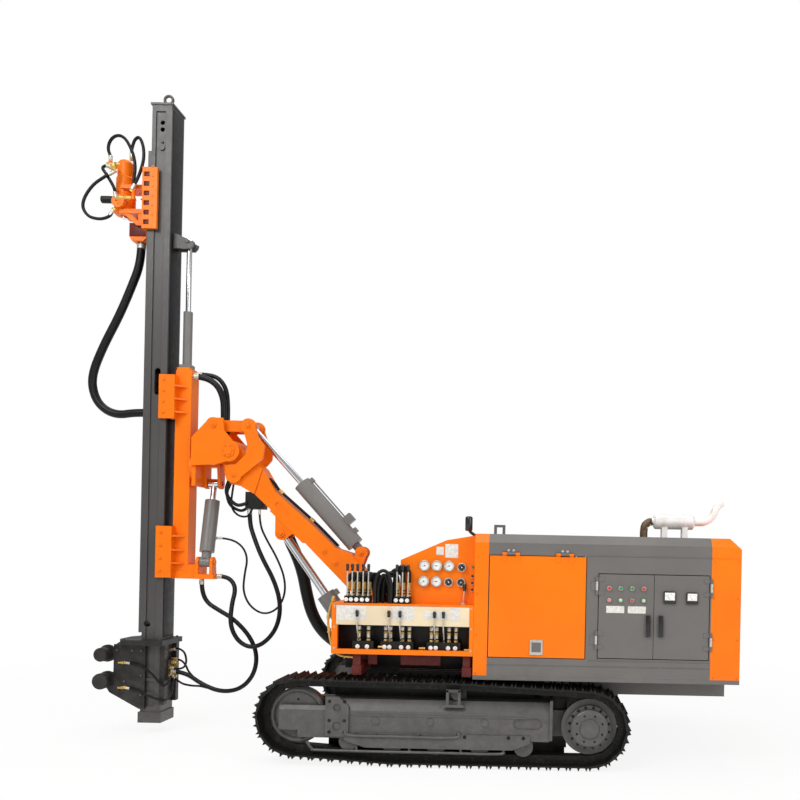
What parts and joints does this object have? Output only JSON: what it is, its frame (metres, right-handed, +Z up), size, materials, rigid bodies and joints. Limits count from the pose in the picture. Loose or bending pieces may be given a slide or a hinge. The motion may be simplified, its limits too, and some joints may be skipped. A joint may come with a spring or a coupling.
{
  "type": "crawler drilling rig",
  "caption": "Crawler drilling rig with a lifting boom, a sliding drill mast with rotary head, an operator's console and a hooded power unit.",
  "frame": {"origin": "on the ground under the middle of the machine's box", "axes": "+Z up, +X towards the hood's tail, -Y towards the console side"},
  "size_m": [4.9683, 2.1, 5.0149],
  "materials": {
    "orange_paint": "gloss",
    "grey_paint": "satin",
    "dark_grey_paint": "satin",
    "track_steel": "matte",
    "chrome_rod": "polished",
    "silver_paint": "satin",
    "cast_engine": "matte",
    "filled_tank": "satin",
    "hose_rubber": "matte",
    "gauge_face": "gloss"
  },
  "bodies": {
    "chassis": {"base_frame": "grey_paint", "track_left": "track_steel", "track_right": "track_steel", "track_frame_left": "grey_paint", "track_frame_right": "grey_paint", "rollers": "grey_paint", "idlers": "grey_paint", "sprockets": "grey_paint", "hood_roof": "grey_paint", "hood_wall_left": "grey_paint", "hood_wall_right": "grey_paint", "hood_front_cap": "orange_paint", "hood_rear_cap": "orange_paint", "switch_cabinet": "grey_paint", "engine": "cast_engine", "compressor": "cast_engine", "radiator": "cast_engine", "silencer": "silver_paint", "tailpipe": "silver_paint", "console_box": "orange_paint", "gauge_housing": "orange_paint", "gauges": "gauge_face", "fuel_tank": "filled_tank", "valves_upper": "dark_grey_paint", "valves_lower": "dark_grey_paint"},
    "swing_bracket": {"swing_bracket": "dark_grey_paint"},
    "turn_barrel": {"turn_ram_barrel": "dark_grey_paint"},
    "turn_rod": {"turn_ram_rod": "chrome_rod"},
    "boom": {"boom": "orange_paint", "arm_hose": "hose_rubber", "sway_hose": "hose_rubber", "boom_bundle": "hose_rubber"},
    "lift_barrel": {"lift_ram_barrel": "dark_grey_paint"},
    "lift_rod": {"lift_ram_rod": "chrome_rod"},
    "tilt_bracket": {"tilt_bracket": "orange_paint", "top_hose_near": "hose_rubber", "top_hose_far": "hose_rubber"},
    "rocker": {"rocker": "orange_paint"},
    "tilt_link": {"tilt_link": "orange_paint"},
    "tilt_barrel": {"tilt_ram_barrel": "dark_grey_paint"},
    "tilt_rod": {"tilt_ram_rod": "chrome_rod"},
    "slide_frame": {"slide_frame": "orange_paint", "slide_ram_barrel": "dark_grey_paint", "foot_hose": "hose_rubber"},
    "sway_barrel": {"sway_ram_barrel": "dark_grey_paint"},
    "sway_rod": {"sway_ram_rod": "chrome_rod"},
    "mast": {"mast": "dark_grey_paint", "slide_ram_rod": "chrome_rod", "clamp_frame": "dark_grey_paint", "clamp_rams": "dark_grey_paint", "head_hose": "hose_rubber"},
    "head": {"head_carriage": "orange_paint", "rotary_head": "orange_paint", "head_loop": "hose_rubber"},
    "spindle": {"spindle": "chrome_rod"},
    "hatch_left": {"side_hatch_left": "orange_paint"},
    "hatch_right": {"side_hatch_right": "orange_paint"},
    "engine_hatch": {"engine_hatch_right": "grey_paint"},
    "cabinet_door_front": {"cabinet_door_front": "grey_paint"},
    "cabinet_door_rear": {"cabinet_door_rear": "grey_paint"}
  },
  "joints": [
    {"name": "boom_swing", "type": "hinge", "parent": "chassis", "child": "swing_bracket", "pos_m": [-0.09, 0, 0.8], "axis": [0, 0, 1], "range_deg": [-30, 30], "deforming": ["boom_bundle"]},
    {"name": "turn_barrel_pivot", "type": "hinge", "parent": "chassis", "child": "turn_barrel", "pos_m": [0.47, 0.33, 0.7], "axis": [0, 0, 1], "range_deg": [-1.39, 1.39]},
    {"name": "turn_rod_slide", "type": "slide", "parent": "turn_barrel", "child": "turn_rod", "axis": [-0.9754, -0.2203, 0], "range_m": [-0.1055, 0.1055]},
    {"name": "boom_lift", "type": "hinge", "parent": "swing_bracket", "child": "boom", "pos_m": [-0.245, 0, 1.06], "axis": [0, 1, 0], "range_deg": [-55, 8], "deforming": ["boom_bundle"]},
    {"name": "lift_barrel_pivot", "type": "hinge", "parent": "swing_bracket", "child": "lift_barrel", "pos_m": [-0.295, 0, 0.62], "axis": [0, 1, 0], "range_deg": [-46.64, 7.64]},
    {"name": "lift_rod_slide", "type": "slide", "parent": "lift_barrel", "child": "lift_rod", "axis": [-0.5832, 0, 0.8123], "range_m": [-0.3821, 0.059]},
    {"name": "mast_tilt", "type": "hinge", "parent": "boom", "child": "tilt_bracket", "pos_m": [-1.379, 0, 2.202], "axis": [0, -1, 0], "range_deg": [-105, 10], "deforming": ["arm_hose", "sway_hose"]},
    {"name": "rocker_pivot", "type": "hinge", "parent": "boom", "child": "rocker", "pos_m": [-1.344, 0, 2.015], "axis": [0, -1, 0], "range_deg": [-64.4, 7.04]},
    {"name": "link_pivot", "type": "hinge", "parent": "rocker", "child": "tilt_link", "pos_m": [-1.237, 0, 2.4], "axis": [0, -1, 0], "range_deg": [-3.2, 24.07]},
    {"name": "tilt_barrel_pivot", "type": "hinge", "parent": "boom", "child": "tilt_barrel", "pos_m": [-0.354, 0, 1.433], "axis": [0, -1, 0], "range_deg": [-4.37, 1.32]},
    {"name": "tilt_rod_slide", "type": "slide", "parent": "tilt_barrel", "child": "tilt_rod", "axis": [-0.6743, 0, 0.7385], "range_m": [-0.4248, 0.0441]},
    {"name": "mast_sway", "type": "hinge", "parent": "tilt_bracket", "child": "slide_frame", "pos_m": [-1.75, 0, 2.07], "axis": [1, 0, 0], "range_deg": [-40, 40], "deforming": ["arm_hose", "sway_hose", "top_hose_near", "top_hose_far"]},
    {"name": "sway_barrel_pivot", "type": "hinge", "parent": "slide_frame", "child": "sway_barrel", "pos_m": [-1.57, -0.055, 1.334], "axis": [1, 0, 0], "range_deg": [-6.12, 6.12]},
    {"name": "sway_rod_slide", "type": "slide", "parent": "sway_barrel", "child": "sway_rod", "axis": [0, 0.233, 0.9725], "range_m": [-0.0787, 0.0787]},
    {"name": "mast_slide", "type": "slide", "parent": "slide_frame", "child": "mast", "axis": [0, 0, -1], "range_m": [-0.44, 0.42], "deforming": ["foot_hose"]},
    {"name": "head_feed", "type": "slide", "parent": "mast", "child": "head", "axis": [0, 0, -1], "range_m": [-0.13, 2.9], "deforming": ["head_hose"]},
    {"name": "spindle_spin", "type": "hinge", "parent": "head", "child": "spindle", "pos_m": [-2.287, 0, 3.95], "axis": [0, 0, 1], "continuous": true},
    {"name": "side_hatch_left_open", "type": "hinge", "parent": "chassis", "child": "hatch_left", "pos_m": [1.04, -1.009, 1.455], "axis": [-1, 0, 0], "range_deg": [0, 80]},
    {"name": "side_hatch_right_open", "type": "hinge", "parent": "chassis", "child": "hatch_right", "pos_m": [1.04, 1.009, 1.455], "axis": [1, 0, 0], "range_deg": [0, 80]},
    {"name": "engine_hatch_right_open", "type": "hinge", "parent": "chassis", "child": "engine_hatch", "pos_m": [1.83, 1.009, 1.455], "axis": [1, 0, 0], "range_deg": [0, 80]},
    {"name": "cabinet_door_front_open", "type": "hinge", "parent": "chassis", "child": "cabinet_door_front", "pos_m": [1.442, -1.009, 1.066], "axis": [0, 0, -1], "range_deg": [0, 110]},
    {"name": "cabinet_door_rear_open", "type": "hinge", "parent": "chassis", "child": "cabinet_door_rear", "pos_m": [2.219, -1.009, 1.066], "axis": [0, 0, 1], "range_deg": [0, 110]}
  ],
  "couplings": [
    {"joint": "turn_barrel_pivot", "follows": "boom_swing", "ratio": 0.0129},
    {"joint": "turn_rod_slide", "follows": "boom_swing", "m_per_rad": 0.1901},
    {"joint": "lift_barrel_pivot", "follows": "boom_lift", "ratio": 0.8136},
    {"joint": "lift_rod_slide", "follows": "boom_lift", "m_per_rad": 0.3862},
    {"joint": "rocker_pivot", "follows": "mast_tilt", "ratio": 0.592},
    {"joint": "link_pivot", "follows": "mast_tilt", "ratio": -0.2154},
    {"joint": "tilt_barrel_pivot", "follows": "mast_tilt", "ratio": 0.0315},
    {"joint": "tilt_rod_slide", "follows": "mast_tilt", "m_per_rad": 0.2251},
    {"joint": "sway_barrel_pivot", "follows": "mast_sway", "ratio": 0.1255},
    {"joint": "sway_rod_slide", "follows": "mast_sway", "m_per_rad": -0.1049}
  ]
}
